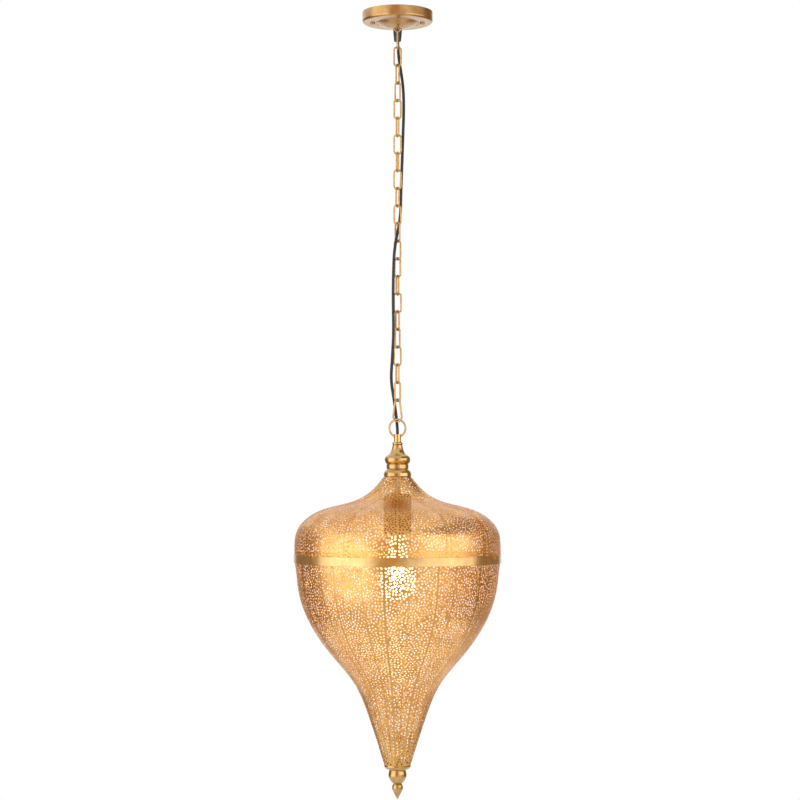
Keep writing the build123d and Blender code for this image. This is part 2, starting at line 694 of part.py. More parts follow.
# Bottom collar: a spigot inside the ends of the lower gores and a rim that narrows to the finial
with BuildPart() as bottom_collar:
    stud_hole = FINIAL_STUD_DIA / 2 + FIT
    rim_end = lower_end - BOTTOM_RIM_HEIGHT
    finial_top = rim_end - BOTTOM_LIP_DROP
    with BuildSketch(Plane.XZ):
        with BuildLine():
            Polyline(
                (BOTTOM_LIP_DIA / 2, finial_top),
                (stud_hole, finial_top),
                (stud_hole, lower_end + SPIGOT_HEIGHT),
                (SPIGOT_DIA / 2, lower_end + SPIGOT_HEIGHT),
                (SPIGOT_DIA / 2, lower_end),
                (BOTTOM_RIM_DIA / 2, lower_end),
                (BOTTOM_RIM_DIA / 2, rim_end),
            )
            Spline(
                (BOTTOM_RIM_DIA / 2, rim_end),
                (BOTTOM_LIP_DIA / 2, finial_top),
                tangents=((-0.2, -1), (-1, -0.5)),
            )
        make_face()
    revolve(axis=Axis.Z)

# Finial: a turned drop with a bead and a pointed cone, and its stud
with BuildPart() as finial:
    neck_end = finial_top - FINIAL_NECK_DROP
    ball_level = finial_top - FINIAL_BALL_DROP
    waist_level = finial_top - FINIAL_WAIST_DROP
    cone_top = waist_level - FINIAL_BEAD_HEIGHT
    tip_level = cone_top - FINIAL_CONE_HEIGHT
    stud_top = lower_end + SPIGOT_HEIGHT + FINIAL_STUD_RISE
    with BuildSketch(Plane.XZ):
        with BuildLine():
            Polyline(
                (0, tip_level),
                (0, stud_top),
                (FINIAL_STUD_DIA / 2, stud_top),
                (FINIAL_STUD_DIA / 2, finial_top),
                (FINIAL_NECK_DIA / 2, finial_top),
                (FINIAL_NECK_DIA / 2, neck_end),
            )
            Spline(
                (FINIAL_NECK_DIA / 2, neck_end),
                (FINIAL_BALL_DIA / 2, ball_level),
                (FINIAL_WAIST_DIA / 2, waist_level),
                tangents=((0.4, -1), (-0.2, -1)),
            )
            ThreePointArc(
                (FINIAL_WAIST_DIA / 2, waist_level),
                (FINIAL_BEAD_DIA / 2, waist_level - FINIAL_BEAD_HEIGHT / 2),
                (FINIAL_CONE_DIA / 2, cone_top),
            )
            Polyline(
                (FINIAL_CONE_DIA / 2, cone_top),
                (FINIAL_TIP_DIA / 2, tip_level),
                (0, tip_level),
            )
        make_face()
    revolve(axis=Axis.Z)

with BuildPart() as finial_nut:
    with BuildSketch(Plane.XY.offset(lower_end + SPIGOT_HEIGHT)):
        RegularPolygon(hexagon(FINIAL_NUT_FLATS), 6)
        Circle(stud_hole, mode=Mode.SUBTRACT)
    extrude(amount=FINIAL_NUT_HEIGHT)

# Lamp socket: a domed cap on the nipple, a shell with a lip, and the insert that takes the bulb
with BuildPart() as socket_cap:
    cap_dome = socket_top - SOCKET_CAP_NECK
    dome_width = (SOCKET_DIA - SOCKET_CAP_TOP_DIA) / 2
    dome_height = SOCKET_CAP_HEIGHT - SOCKET_CAP_NECK
    cap_radius = (dome_width**2 + dome_height**2) / (2 * dome_width)
    with BuildSketch(Plane.XZ):
        with BuildLine():
            Polyline(
                (nipple_hole, socket_top),
                (SOCKET_CAP_TOP_DIA / 2, socket_top),
                (SOCKET_CAP_TOP_DIA / 2, cap_dome),
            )
            RadiusArc((SOCKET_CAP_TOP_DIA / 2, cap_dome), (SOCKET_DIA / 2, shell_top), cap_radius)
            offset(amount=SOCKET_SHEET, side=Side.RIGHT, kind=Kind.INTERSECTION)
        make_face()
    revolve(axis=Axis.Z)

with BuildPart() as socket_shell:
    with BuildSketch(Plane.XY.offset(shell_top)):
        Circle(SOCKET_DIA / 2)
    extrude(amount=-SOCKET_SHELL_HEIGHT)
    with BuildSketch(Plane.XY.offset(shell_top)):
        Circle(SOCKET_DIA / 2 - SOCKET_SHEET)
    extrude(amount=SOCKET_SHEET - SOCKET_SHELL_HEIGHT, mode=Mode.SUBTRACT)
    with BuildSketch(Plane.XY.offset(insert_bottom)):
        Circle(SOCKET_LIP_DIA / 2)
    extrude(amount=-SOCKET_SHEET, mode=Mode.SUBTRACT)

with BuildPart() as socket_insert:
    with BuildSketch(Plane.XY.offset(insert_bottom)):
        Circle(SOCKET_DIA / 2 - SOCKET_SHEET - FIT)
    extrude(amount=INSERT_HEIGHT)
    with BuildSketch(Plane.XY.offset(insert_bottom)):
        Circle(INSERT_BORE / 2)
    extrude(amount=INSERT_DEPTH, mode=Mode.SUBTRACT)

with BuildPart() as centre_contact:
    with BuildSketch(Plane.XY.offset(insert_roof)):
        Circle(CONTACT_DIA / 2)
    extrude(amount=-CONTACT_SHEET)

# Bulb: screw cap, clear pear-shaped glass and the filament mount
with BuildPart() as bulb_cap:
    cap_shoulder = bulb_top - BULB_INSULATOR_DROP
    with BuildSketch(Plane.XZ):
        with BuildLine():
            Polyline(
                (0, bulb_top),
                (BULB_CONTACT_DIA / 2, bulb_top),
                (BULB_CAP_DIA / 2, cap_shoulder),
                (BULB_CAP_DIA / 2, bulb_cap_end),
                (BULB_CAP_DIA / 2 - BULB_CAP_SHEET, bulb_cap_end),
                (BULB_CAP_DIA / 2 - BULB_CAP_SHEET, bulb_neck + FIT),
                (0, bulb_neck + FIT),
                close=True,
            )
        make_face()
    revolve(axis=Axis.Z)

with BuildPart() as bulb_glass:
    glass_neck = BULB_NECK_DIA / 2
    with BuildSketch(Plane.XZ):
        glass_points = [
            (glass_neck, bulb_neck),
            (glass_neck, bulb_cap_end - BULB_NECK_LENGTH),
            (BULB_DIA / 2, bulb_belly),
            (0, bulb_end),
        ]
        with BuildLine():
            sheet_outline(glass_points, ((0, -1), (-1, 0)), 0, BULB_GLASS)
        make_face()
    revolve(axis=Axis.Z)

with BuildPart() as bulb_filament:
    mount_end = bulb_neck - MOUNT_LENGTH
    spider_gap = FILAMENT_LENGTH + SPIDER_SHEET
    with BuildSketch(Plane.XY.offset(bulb_neck)):
        Circle(FLARE_DIA / 2)
    with BuildSketch(Plane.XY.offset(bulb_neck - BULB_NECK_LENGTH)):
        Circle(MOUNT_DIA / 2)
    loft()
    with BuildSketch(Plane.XY.offset(bulb_neck - BULB_NECK_LENGTH)):
        Circle(MOUNT_DIA / 2)
    extrude(amount=BULB_NECK_LENGTH - MOUNT_LENGTH)
    with BuildSketch(Plane.XY.offset(mount_end), Plane.XY.offset(mount_end - spider_gap)):
        Circle(FILAMENT_CIRCLE / 2 + FILAMENT_DIA)
    extrude(amount=-SPIDER_SHEET)
    with BuildSketch(Plane.XY.offset(mount_end - SPIDER_SHEET)):
        with PolarLocations(FILAMENT_CIRCLE / 2, FILAMENTS):
            Circle(FILAMENT_DIA / 2)
    extrude(amount=-FILAMENT_LENGTH)


def route_radii(points):
    """The largest arc at each corner that its two runs allow."""
    points = [Vector(*point) for point in points]
    radii = []
    for before, corner, after in zip(points, points[1:], points[2:]):
        turn = (corner - before).get_angle(after - corner)
        shorter = min((corner - before).length, (after - corner).length)
        radii.append(CORD_ARC_SHARE * shorter / tan(radians(turn / 2)))
    return radii


# Power cord: a plain tube from the grip, along the chain and into the stem
with BuildPart() as power_cord:
    cord_radii = route_radii(CORD_ROUTE)
    with BuildLine() as cord_line:
        FilletPolyline(*CORD_ROUTE, radius=cord_radii)
    with BuildSketch(Plane(cord_line.line @ 0, z_dir=cord_line.line % 0)):
        Circle(CORD_DIA / 2)
    sweep()

# Lamp lead: the cord's straight run through the nipple into the socket cap
with BuildPart() as lamp_lead:
    lead_top = stem_top - FIT
    with BuildSketch(Plane.XY.offset(lead_top)):
        Circle(CORD_DIA / 2)
    extrude(amount=insert_bottom + INSERT_HEIGHT - lead_top)

pieces = {
    "ceiling_canopy": ceiling_canopy,
    "mounting_bracket": mounting_bracket,
    "terminal_block": terminal_block,
    "canopy_screws": canopy_screws,
    "chain_eye": chain_eye,
    "eye_nut": eye_nut,
    "cord_grip": cord_grip,
    "cord_grip_nut": cord_grip_nut,
    "pear_link": pear_link,
    "bail_ring": bail_ring,
    "neck_stem": neck_stem,
    "neck_vase": neck_vase,
    "neck_collar": neck_collar,
    "neck_flange": neck_flange,
    "threaded_nipple": threaded_nipple,
    "shade_top_plate": shade_top_plate,
    "nipple_nut": nipple_nut,
    "upper_gores": upper_gores,
    "upper_seam_straps": upper_seam_straps,
    "shade_band": shade_band,
    "band_screws": band_screws,
    "band_nuts": band_nuts,
    "lower_gores": lower_gores,
    "lower_seam_straps": lower_seam_straps,
    "bottom_collar": bottom_collar,
    "finial": finial,
    "finial_nut": finial_nut,
    "socket_cap": socket_cap,
    "socket_shell": socket_shell,
    "socket_insert": socket_insert,
    "centre_contact": centre_contact,
    "bulb_cap": bulb_cap,
    "bulb_glass": bulb_glass,
    "bulb_filament": bulb_filament,
    "power_cord": power_cord,
    "lamp_lead": lamp_lead,
}
for number, chain_link in enumerate(chain_links, 1):
    pieces[f"chain_link_{number:02d}"] = chain_link

os.makedirs("parts", exist_ok=True)
for name, piece in pieces.items():
    piece.part.label = name
    export_step(piece.part, f"parts/{name}.step")

cord_length = cord_line.wires()[0].length
cord_section = power_cord.part.volume / cord_length
print(f"Cord length {cord_length:.1f} mm, section {cord_section:.2f} mm2, smallest bend {min(cord_radii):.1f} mm")
print("Cord bends:", ", ".join(f"{radius:.0f}" for radius in cord_radii))
print(f"Ring pivot {ring_pivot:.2f}, stem top {stem_top:.2f}, shade top {shade_top:.2f}, tip {tip_level:.2f}")
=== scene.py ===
import json
from math import cos, hypot, pi, radians, sin

import bpy
import numpy as np
from mathutils import Matrix, Vector
from mathutils.geometry import delaunay_2d_cdt


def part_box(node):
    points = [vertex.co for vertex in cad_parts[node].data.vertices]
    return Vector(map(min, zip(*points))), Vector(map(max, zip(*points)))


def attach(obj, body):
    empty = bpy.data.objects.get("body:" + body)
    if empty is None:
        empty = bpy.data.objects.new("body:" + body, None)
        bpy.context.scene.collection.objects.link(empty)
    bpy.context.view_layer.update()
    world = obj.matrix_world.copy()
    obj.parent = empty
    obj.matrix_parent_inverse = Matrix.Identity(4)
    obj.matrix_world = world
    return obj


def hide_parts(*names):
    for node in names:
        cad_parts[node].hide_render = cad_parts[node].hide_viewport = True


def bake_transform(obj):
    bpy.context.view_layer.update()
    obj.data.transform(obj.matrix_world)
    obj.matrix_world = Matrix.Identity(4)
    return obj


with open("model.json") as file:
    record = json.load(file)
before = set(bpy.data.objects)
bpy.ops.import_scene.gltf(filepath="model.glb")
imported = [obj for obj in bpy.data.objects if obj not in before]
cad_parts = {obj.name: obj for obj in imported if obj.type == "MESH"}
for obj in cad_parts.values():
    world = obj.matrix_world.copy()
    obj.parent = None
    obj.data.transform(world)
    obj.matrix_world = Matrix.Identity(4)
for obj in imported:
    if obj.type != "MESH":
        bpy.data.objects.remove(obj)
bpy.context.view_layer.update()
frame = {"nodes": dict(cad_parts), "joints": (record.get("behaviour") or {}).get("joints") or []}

# Dresses the pendant lantern: pierced gores, turned pieces with finer outlines, the cord in stretches,
# every finish, and the studio round it.
# Metres, in the frame of the imported model: +Z up, the origin on the ceiling, the viewer on the -Y side.

nodes = frame["nodes"]
scene = bpy.context.scene
scene.view_settings.view_transform = "Standard"

MM = 0.001

# Camera: its focal length in pixels of the picture, and its sensor in mm
IMAGE_PIXELS = 800
FOCAL_PIXELS = 2012
SENSOR_WIDTH = 36
CAMERA_DISTANCE = 3.4
CAMERA_HEIGHT = -0.79
AIM_HEIGHT = -0.6605
AIM_SIDE = 0.0042

# Studio: the world's strength for diffuse light and as the camera and the metal see it, then floor, lamps
# and cards
WORLD_DIFFUSE = 0.7
WORLD_SEEN = 1.0
FLOOR_HEIGHT = -1.62
FLOOR_RADIUS = 1.0
FLOOR_SIDES = 64
FLOOR_COLOUR = (0.86, 0.86, 0.85)
FLOOR_ROUGHNESS = 0.8
FLOOR_REFLECTED = 1
SOFT_BOX_DISTANCE = 2.3
SOFT_BOX_RADIANCE = 1.05
CARD_STEPS = 8
CARD_AMBER = (1.0, 0.62, 0.28)
CARD_TAN = (0.86, 0.58, 0.33)
CARD_BROWN = (0.39, 0.255, 0.14)
CARD_DARK = (0.24, 0.145, 0.07)

# Shade: outlines as radius and drop in mm, below the top edge or below the edge that meets it in the band
GORES = 12
GORE_PATTERNS = 3
SHEET = 0.25 * MM
SEAM_GAP = radians(0.15)
EDGE_GAP = 1 * MM
BAND_INSET = 1.35 * MM
PLUMB = (0, -1)
UPPER_OUTLINE = ((22, 0), (40.6, 21.5), (71, 41), (120.8, 54.5), (157.2, 74.8), (170.7, 95))
UPPER_START_SLOPE = (0.66, -0.75)
UPPER_SHOULDER_DROP = 116 * MM
UPPER_HEIGHT = 138 * MM
UPPER_SEAM_TURN = 0
UPPER_SEED = 11
LOWER_OUTLINE = ((172.5, 10), (166.5, 55), (147, 109), (103.9, 170), (71.8, 210.5), (53.2, 251), (22, 345.5))
LOWER_END_SLOPE = (-0.31, -0.95)
LOWER_SEAM_TURN = radians(-7.3)
LOWER_SEED = 37
PROFILE_STEP = 1.5 * MM
GORE_SIDE_STEP = 3 * MM
GORE_END_STOPS = 7
SEAM_STAIN = 0.96 * MM
STRAP_WIDTH = 1.9 * MM
STRAP_FRONT = 0.7 * MM
STRAP_BACK = 1.3 * MM

# Piercing: oval holes like grains of rice, and the webs of metal between them
GRAIN_LENGTH = 4.4 * MM
GRAIN_SHORT = 3.5 * MM
GRAIN_WIDTH = 2.8 * MM
GRAIN_WEB = 0.9 * MM
GRAIN_THIN_WEB = 0.5 * MM
GRAIN_AREA = 25.5 * MM**2
GRAIN_SPREADS = 18
GRAIN_SAMPLES = 12
GRAIN_TRIES = 24
GRAIN_LONG_TRIES = 14
GRAIN_SIDES = 12
SEAM_MARGIN = 0.6 * MM
END_MARGIN = 1.6 * MM
WIDTH_STOPS = 100
AREA_STOPS = 400
FAR_APART = 1.0
NO_HOLE = -1
TRIANGLES_INSIDE = 1
FLAT_TOLERANCE = 1e-7

# Turned pieces: outlines as radius and drop in mm, below the piece's top
LATHE_SIDES = 56
LATHE_EDGE = radians(28)
LATHE_STEP = 0.8 * MM
NIPPLE_HOLE = 5.3 * MM
VASE = ((8.4, 0), (9.7, 6.3), (11.9, 11.8), (15.9, 16), (19.8, 18.7), (21.8, 24.5), (18.2, 32))
VASE_SLOPES = (0.1, -1), (-0.8, -0.6)
FLANGE = ((18, 0), (19, 1.2), (22.2, 5), (23.3, 9.5), (23.3, 12))
FLANGE_SLOPES = (0.4, -1), (0, -1)
HOLDER_CAP = ((14.5, 0), (21.2, 2.6), (23.25, 8.5), (23.25, 18))
HOLDER_CAP_SLOPES = (1, 0), (0, -1)
FINIAL_STUD = 3 * MM
FINIAL_NECK = 14.2 * MM
FINIAL_BALL = ((14.2, 2.5), (15.3, 9), (13.1, 16.5), (6.8, 23.8))
FINIAL_BALL_SLOPES = (0.25, -1), (-1, -0.75)
FINIAL_BEAD = ((6.8, 23.8), (9.1, 30), (8.2, 35))
FINIAL_BEAD_SLOPES = (1, -0.7), (-0.35, -1)
FINIAL_TIP = 0.8 * MM

# Cord: its route's control points in mm, from the ceiling grip down to the stem, and the bodies past its end
CORD_DIA = 5 * MM
CORD_SIDES = 14
CORD_STRETCH = 30.1 * MM
CORD_RESOLUTION = 12
CORD_ORDER = 3
CORD_SHORTEST_STEP = 1e-6
PAST_CORD = ("lantern", "bulb")
CORD_ROUTE = (
    (0, 45, -12),
    (0.3, 44.8, -58),
    (5.5, 35, -92),
    (9.8, 21.5, -124),
    (10.8, 11.4, -164),
    (9.2, 8.6, -212),
    (7.6, 9.6, -260),
    (5.8, 11.0, -306),
    (5.2, 13.0, -350),
    (-5.2, -13.0, -402),
    (-7.0, -10.0, -444),
    (-7.6, -9.0, -492),
    (-6.4, -10.0, -545),
    (-8.8, -8.6, -590),
    (-11.4, 2.8, -626),
    (-6.6, 11.4, -656),
    (-3.0, 10.0, -680),
    (-1.2, 7.0, -698),
    (0, 0, -711),
    (0, 0, -718.4),
)

# Finishes: the range of most of a noise's values, and the lacquer on turned brass
NOISE_LOW = 0.3
NOISE_HIGH = 0.7
NOISE_ROUGHNESS = 0.55
LACQUER_WEIGHT = 0.6
LACQUER_ROUGHNESS = 0.16

# Turned brass: light and dark tone, least and most roughness, scale and depth of the fine lines
TURNED_FINISHES = {
    "canopy_brass": ((0.54, 0.30, 0.10), (0.43, 0.23, 0.07), 0.22, 0.40, 900, 0.08 * MM),
    "turned_brass": ((0.60, 0.38, 0.13), (0.44, 0.26, 0.08), 0.17, 0.30, 1400, 0.04 * MM),
    "band_brass": ((0.73, 0.47, 0.18), (0.61, 0.37, 0.13), 0.22, 0.34, 1600, 0.05 * MM),
}

# Plain finishes: light and dark tone, roughness, scale of the clouds, share of metal
PLAIN_FINISHES = {
    "seam_brass": ((0.64, 0.39, 0.16), (0.52, 0.30, 0.11), 0.42, 90, 1.0),
    "fitting_steel": ((0.52, 0.50, 0.47), (0.40, 0.38, 0.36), 0.35, 120, 1.0),
    "black_plastic": ((0.030, 0.028, 0.026), (0.016, 0.015, 0.014), 0.42, 90, 0.0),
    "cord_black": ((0.028, 0.026, 0.024), (0.014, 0.013, 0.012), 0.40, 120, 0.0),
    "terminal_plastic": ((0.72, 0.71, 0.67), (0.62, 0.61, 0.57), 0.5, 60, 0.0),
    "socket_brown": ((0.30, 0.125, 0.04), (0.20, 0.08, 0.025), 0.45, 50, 0.7),
    "socket_ceramic": ((0.74, 0.71, 0.64), (0.62, 0.59, 0.52), 0.3, 40, 0.0),
    "bulb_metal": ((0.66, 0.62, 0.54), (0.52, 0.48, 0.42), 0.25, 150, 1.0),
    # The shade's inside is a paler, less metallic copy of its outside sheet: painted light of the bulb on the
    # inner face.
    "shade_inside_painted_light": ((0.87, 0.63, 0.35), (0.79, 0.53, 0.27), 0.5, 28, 0.6),
    "shade_cut_edge": ((0.50, 0.22, 0.07), (0.38, 0.16, 0.05), 0.5, 60, 0.8),
}
PLAIN_ROUGHNESS_SPREAD = 0.06
PLAIN_GRAIN_FINER = 8
PLAIN_GRAIN_DEPTH = 0.15 * MM

# Chain wire, shade sheet and its soldered seams
CHAIN_LIGHT = (0.63, 0.40, 0.16)
CHAIN_DARK = (0.50, 0.30, 0.11)
SHADE_LIGHT = (0.75, 0.42, 0.13)
SHADE_DARK = (0.60, 0.31, 0.085)
SHADE_SEAM = (0.66, 0.36, 0.11)

# Bulb: its glow, and how far the filaments rise from the low end of their mount
GLASS_TINT = (1, 0.96, 0.88)
GLASS_ROUGHNESS = 0.02
GLASS_IOR = 1.45
GLASS_GLOW = 0.4
BULB_LIGHT = (1, 0.83, 0.58)
FILAMENT_TINT = (1, 0.85, 0.6)
FILAMENT_GLOW = 140
FILAMENT_RISE = 39.5 * MM
FILAMENT_FADE = 0.5 * MM

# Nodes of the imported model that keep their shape, by finish
PAINTED = {
    "canopy_brass": ("ceiling_canopy", "canopy_screws"),
    "turned_brass": ("neck_stem", "neck_collar", "bottom_collar"),
    "band_brass": ("shade_band", "band_screws", "band_nuts", "shade_top_plate"),
    "chain_brass": ("chain_eye", "pear_link", "bail_ring"),
    "fitting_steel": ("mounting_bracket", "eye_nut", "threaded_nipple", "nipple_nut", "finial_nut"),
    "black_plastic": ("cord_grip", "cord_grip_nut"),
    "cord_black": ("lamp_lead",),
    "terminal_plastic": ("terminal_block",),
    "socket_brown": ("socket_shell",),
    "socket_ceramic": ("socket_insert",),
    "bulb_metal": ("bulb_cap", "centre_contact"),
    "bulb_glass": ("bulb_glass",),
    "bulb_filament": ("bulb_filament",),
}
CHAIN_LINK_PREFIX = "chain_link"


def new_material(name):
    """A material with a fresh principled shader: the material, its node tree and the shader."""
    material = bpy.data.materials.new(name)
    material.use_nodes = True
    tree = material.node_tree
    return material, tree, tree.nodes["Principled BSDF"]


def opaque(colour):
    return (*colour, 1)


def set_inputs(node, values):
    for name, value in values.items():
        node.inputs[name].default_value = value


def add_node(tree, kind, **settings):
    """A new node, with each setting on its input of that name or else on the node itself."""
    node = tree.nodes.new(kind)
    for key, value in settings.items():
        if key in node.inputs:
            node.inputs[key].default_value = value
        else:
            setattr(node, key, value)
    return node


def object_place(tree):
    return add_node(tree, "ShaderNodeTexCoord").outputs["Object"]


def split_place(tree):
    """The X, Y and Z of a place on the object."""
    split = add_node(tree, "ShaderNodeSeparateXYZ")
    tree.links.new(object_place(tree), split.inputs[0])
    return split.outputs


def turned_place(tree):
    """Coordinates that change only along the radius and the height, for the fine lines of turned metal."""
    axes = split_place(tree)
    flat = add_node(tree, "ShaderNodeCombineXYZ")
    tree.links.new(axes["X"], flat.inputs["X"])
    tree.links.new(axes["Y"], flat.inputs["Y"])
    radius = add_node(tree, "ShaderNodeVectorMath", operation="LENGTH")
    tree.links.new(flat.outputs[0], radius.inputs[0])
    place = add_node(tree, "ShaderNodeCombineXYZ")
    tree.links.new(radius.outputs["Value"], place.inputs["X"])
    tree.links.new(axes["Z"], place.inputs["Y"])
    return place.outputs[0]


def noise(tree, place, scale, detail):
    node = add_node(tree, "ShaderNodeTexNoise", Scale=scale, Detail=detail, Roughness=NOISE_ROUGHNESS)
    tree.links.new(place, node.inputs["Vector"])
    return node.outputs["Fac"]


def two_tone(tree, value, dark, light, dark_until, light_from):
    """A colour that goes from dark to light between two values."""
    node = add_node(tree, "ShaderNodeValToRGB")
    tree.links.new(value, node.inputs["Fac"])
    for stop, position, colour in zip(node.color_ramp.elements, (dark_until, light_from), (dark, light)):
        stop.position = position
        stop.color = opaque(colour)
    return node.outputs["Color"]


def map_range(tree, value, from_low, from_high, low, high):
    node = add_node(tree, "ShaderNodeMapRange")
    tree.links.new(value, node.inputs["Value"])
    set_inputs(node, {"From Min": from_low, "From Max": from_high, "To Min": low, "To Max": high})
    return node.outputs["Result"]


def spread(tree, value, low, high):
    """Maps a noise value's useful range to low and high."""
    return map_range(tree, value, NOISE_LOW, NOISE_HIGH, low, high)


def bump(tree, shader, value, strength, distance):
    node = add_node(tree, "ShaderNodeBump", Strength=strength, Distance=distance)
    tree.links.new(value, node.inputs["Height"])
    tree.links.new(node.outputs["Normal"], shader.inputs["Normal"])


def swap_for_ray(tree, ray, shader, other):
    """Gives the surface a shader, and another one for one kind of ray."""
    path = add_node(tree, "ShaderNodeLightPath")
    mix = add_node(tree, "ShaderNodeMixShader")
    tree.links.new(path.outputs[ray], mix.inputs["Fac"])
    tree.links.new(shader.outputs[0], mix.inputs[1])
    tree.links.new(other.outputs[0], mix.inputs[2])
    tree.links.new(mix.outputs[0], tree.nodes["Material Output"].inputs["Surface"])


def turned_brass(name, light, dark, smooth, rough, line_scale, line_depth):
    """Aged brass under clear lacquer, with fine lines round the axis and a cloudy patina."""
    material, tree, shader = new_material(name)
    set_inputs(shader, {
        "Metallic": 1,
        "Coat Weight": LACQUER_WEIGHT,
        "Coat Roughness": LACQUER_ROUGHNESS,
    })
    clouds = noise(tree, object_place(tree), scale=70, detail=6)
    patina = two_tone(tree, clouds, dark, light, dark_until=0.36, light_from=0.6)
    tree.links.new(patina, shader.inputs["Base Color"])
    lines = noise(tree, turned_place(tree), line_scale, detail=3)
    tree.links.new(spread(tree, lines, smooth, rough), shader.inputs["Roughness"])
    bump(tree, shader, lines, strength=0.25, distance=line_depth)
    return material


def wire_brass(name, light, dark):
    """Drawn brass wire, smoother where its tone is light."""
    material, tree, shader = new_material(name)
    set_inputs(shader, {"Metallic": 1})
    clouds = noise(tree, object_place(tree), scale=160, detail=5)
    patina = two_tone(tree, clouds, dark, light, dark_until=0.34, light_from=0.58)
    tree.links.new(patina, shader.inputs["Base Color"])
    tree.links.new(spread(tree, clouds, low=0.34, high=0.22), shader.inputs["Roughness"])
    grain = noise(tree, object_place(tree), scale=900, detail=3)
    bump(tree, shader, grain, strength=0.12, distance=0.1 * MM)
    return material


def shade_metal(name, light, dark, seam):
    """Copper-gold sheet, cloudy and a little uneven, with its own tone along the soldered seams."""
    material, tree, shader = new_material(name)
    set_inputs(shader, {"Metallic": 1})
    clouds = noise(tree, object_place(tree), scale=28, detail=6)
    sheet = two_tone(tree, clouds, dark, light, dark_until=0.35, light_from=0.62)
    edge = add_node(tree, "ShaderNodeAttribute", attribute_name="seam")
    mix = add_node(tree, "ShaderNodeMix", data_type="RGBA")
    tree.links.new(edge.outputs["Fac"], mix.inputs["Factor"])
    tree.links.new(sheet, mix.inputs["A"])
    set_inputs(mix, {"B": opaque(seam)})
    tree.links.new(mix.outputs["Result"], shader.inputs["Base Color"])
    tree.links.new(spread(tree, clouds, low=0.38, high=0.28), shader.inputs["Roughness"])
    dents = noise(tree, object_place(tree), scale=180, detail=3)
    bump(tree, shader, dents, strength=0.2, distance=0.6 * MM)
    return material


def plain(name, light, dark, rough, scale, metallic):
    """A finish with a slight grain: plastic, ceramic, rubber or plain metal."""
    material, tree, shader = new_material(name)
    set_inputs(shader, {"Metallic": metallic})
    clouds = noise(tree, object_place(tree), scale, detail=5)
    tone = two_tone(tree, clouds, dark, light, dark_until=0.35, light_from=0.65)
    tree.links.new(tone, shader.inputs["Base Color"])
    gloss = spread(tree, clouds, rough - PLAIN_ROUGHNESS_SPREAD, rough + PLAIN_ROUGHNESS_SPREAD)
    tree.links.new(gloss, shader.inputs["Roughness"])
    grain = noise(tree, object_place(tree), scale * PLAIN_GRAIN_FINER, detail=3)
    bump(tree, shader, grain, strength=0.15, distance=PLAIN_GRAIN_DEPTH)
    return material


def bulb_glass():
    """Clear glass that lets the filament's light straight through."""
    material, tree, shader = new_material("bulb_glass")
    set_inputs(shader, {
        "Base Color": opaque(GLASS_TINT),
        "Roughness": GLASS_ROUGHNESS,
        "IOR": GLASS_IOR,
        "Transmission Weight": 1,
        "Emission Color": opaque(BULB_LIGHT),
        "Emission Strength": GLASS_GLOW,
    })
    swap_for_ray(tree, "Is Shadow Ray", shader, add_node(tree, "ShaderNodeBsdfTransparent"))
    return material


def bulb_filament():
    """A pale mount with filaments that glow up to the mount's end."""
    material, tree, shader = new_material("bulb_filament")
    set_inputs(shader, {"Base Color": opaque(FILAMENT_TINT), "Emission Color": opaque(BULB_LIGHT)})
    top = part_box("bulb_filament")[0].z + FILAMENT_RISE
    glow = map_range(tree, split_place(tree)["Z"], top - FILAMENT_FADE, top, FILAMENT_GLOW, 0)
    tree.links.new(glow, shader.inputs["Emission Strength"])
    return material


def make_finishes():
    """Every material of the lantern, by its name."""
    finishes = {name: turned_brass(name, *values) for name, values in TURNED_FINISHES.items()}
    finishes.update({name: plain(name, *values) for name, values in PLAIN_FINISHES.items()})
    finishes["chain_brass"] = wire_brass("chain_brass", CHAIN_LIGHT, CHAIN_DARK)
    finishes["shade_brass"] = shade_metal("shade_brass", SHADE_LIGHT, SHADE_DARK, SHADE_SEAM)
    finishes["bulb_glass"] = bulb_glass()
    finishes["bulb_filament"] = bulb_filament()
    return finishes


def curve_through(points, start_slope, end_slope, spacing):
    """A smooth line through points, with the given end directions: radii, heights and lengths along it."""
    points = np.array(points)
    start_slope = np.array(start_slope) / hypot(*start_slope)
    end_slope = np.array(end_slope) / hypot(*end_slope)
    knots = np.concatenate([[0], np.cumsum(np.hypot(*np.diff(points, axis=0).T))])
    gaps = np.diff(knots)
    chords = np.diff(points, axis=0) / gaps[:, None]
    count = len(points)
    matrix = np.eye(count)
    sides = np.zeros((count, 2))
    sides[0] = start_slope
    sides[-1] = end_slope
    for i in range(1, count - 1):
        matrix[i, i - 1 : i + 2] = gaps[i], 2 * (gaps[i - 1] + gaps[i]), gaps[i - 1]
        sides[i] = 3 * (gaps[i] * chords[i - 1] + gaps[i - 1] * chords[i])
    slopes = np.linalg.solve(matrix, sides)
    line = []
    for i in range(count - 1):
        for t in np.linspace(0, 1, max(2, int(gaps[i] / spacing)), endpoint=i == count - 2):
            ends = (1 + 2 * t) * (1 - t) ** 2 * points[i] + t * t * (3 - 2 * t) * points[i + 1]
            bends = t * (1 - t) ** 2 * slopes[i] - t * t * (1 - t) * slopes[i + 1]
            line.append(ends + gaps[i] * bends)
    line = np.array(line)
    along = np.concatenate([[0], np.cumsum(np.hypot(*np.diff(line, axis=0).T))])
    return line[:, 0], line[:, 1], along


def gap_between(grain, other):
    """The distance between two grains' middle lines, each given as two end points."""
    best = FAR_APART
    for (start, end), points in ((grain, other), (other, grain)):
        run = (end[0] - start[0], end[1] - start[1])
        square = run[0] ** 2 + run[1] ** 2
        for point in points:
            t = ((point[0] - start[0]) * run[0] + (point[1] - start[1]) * run[1]) / square
            t = min(1.0, max(0.0, t))
            best = min(best, hypot(point[0] - start[0] - t * run[0], point[1] - start[1] - t * run[1]))
    return best


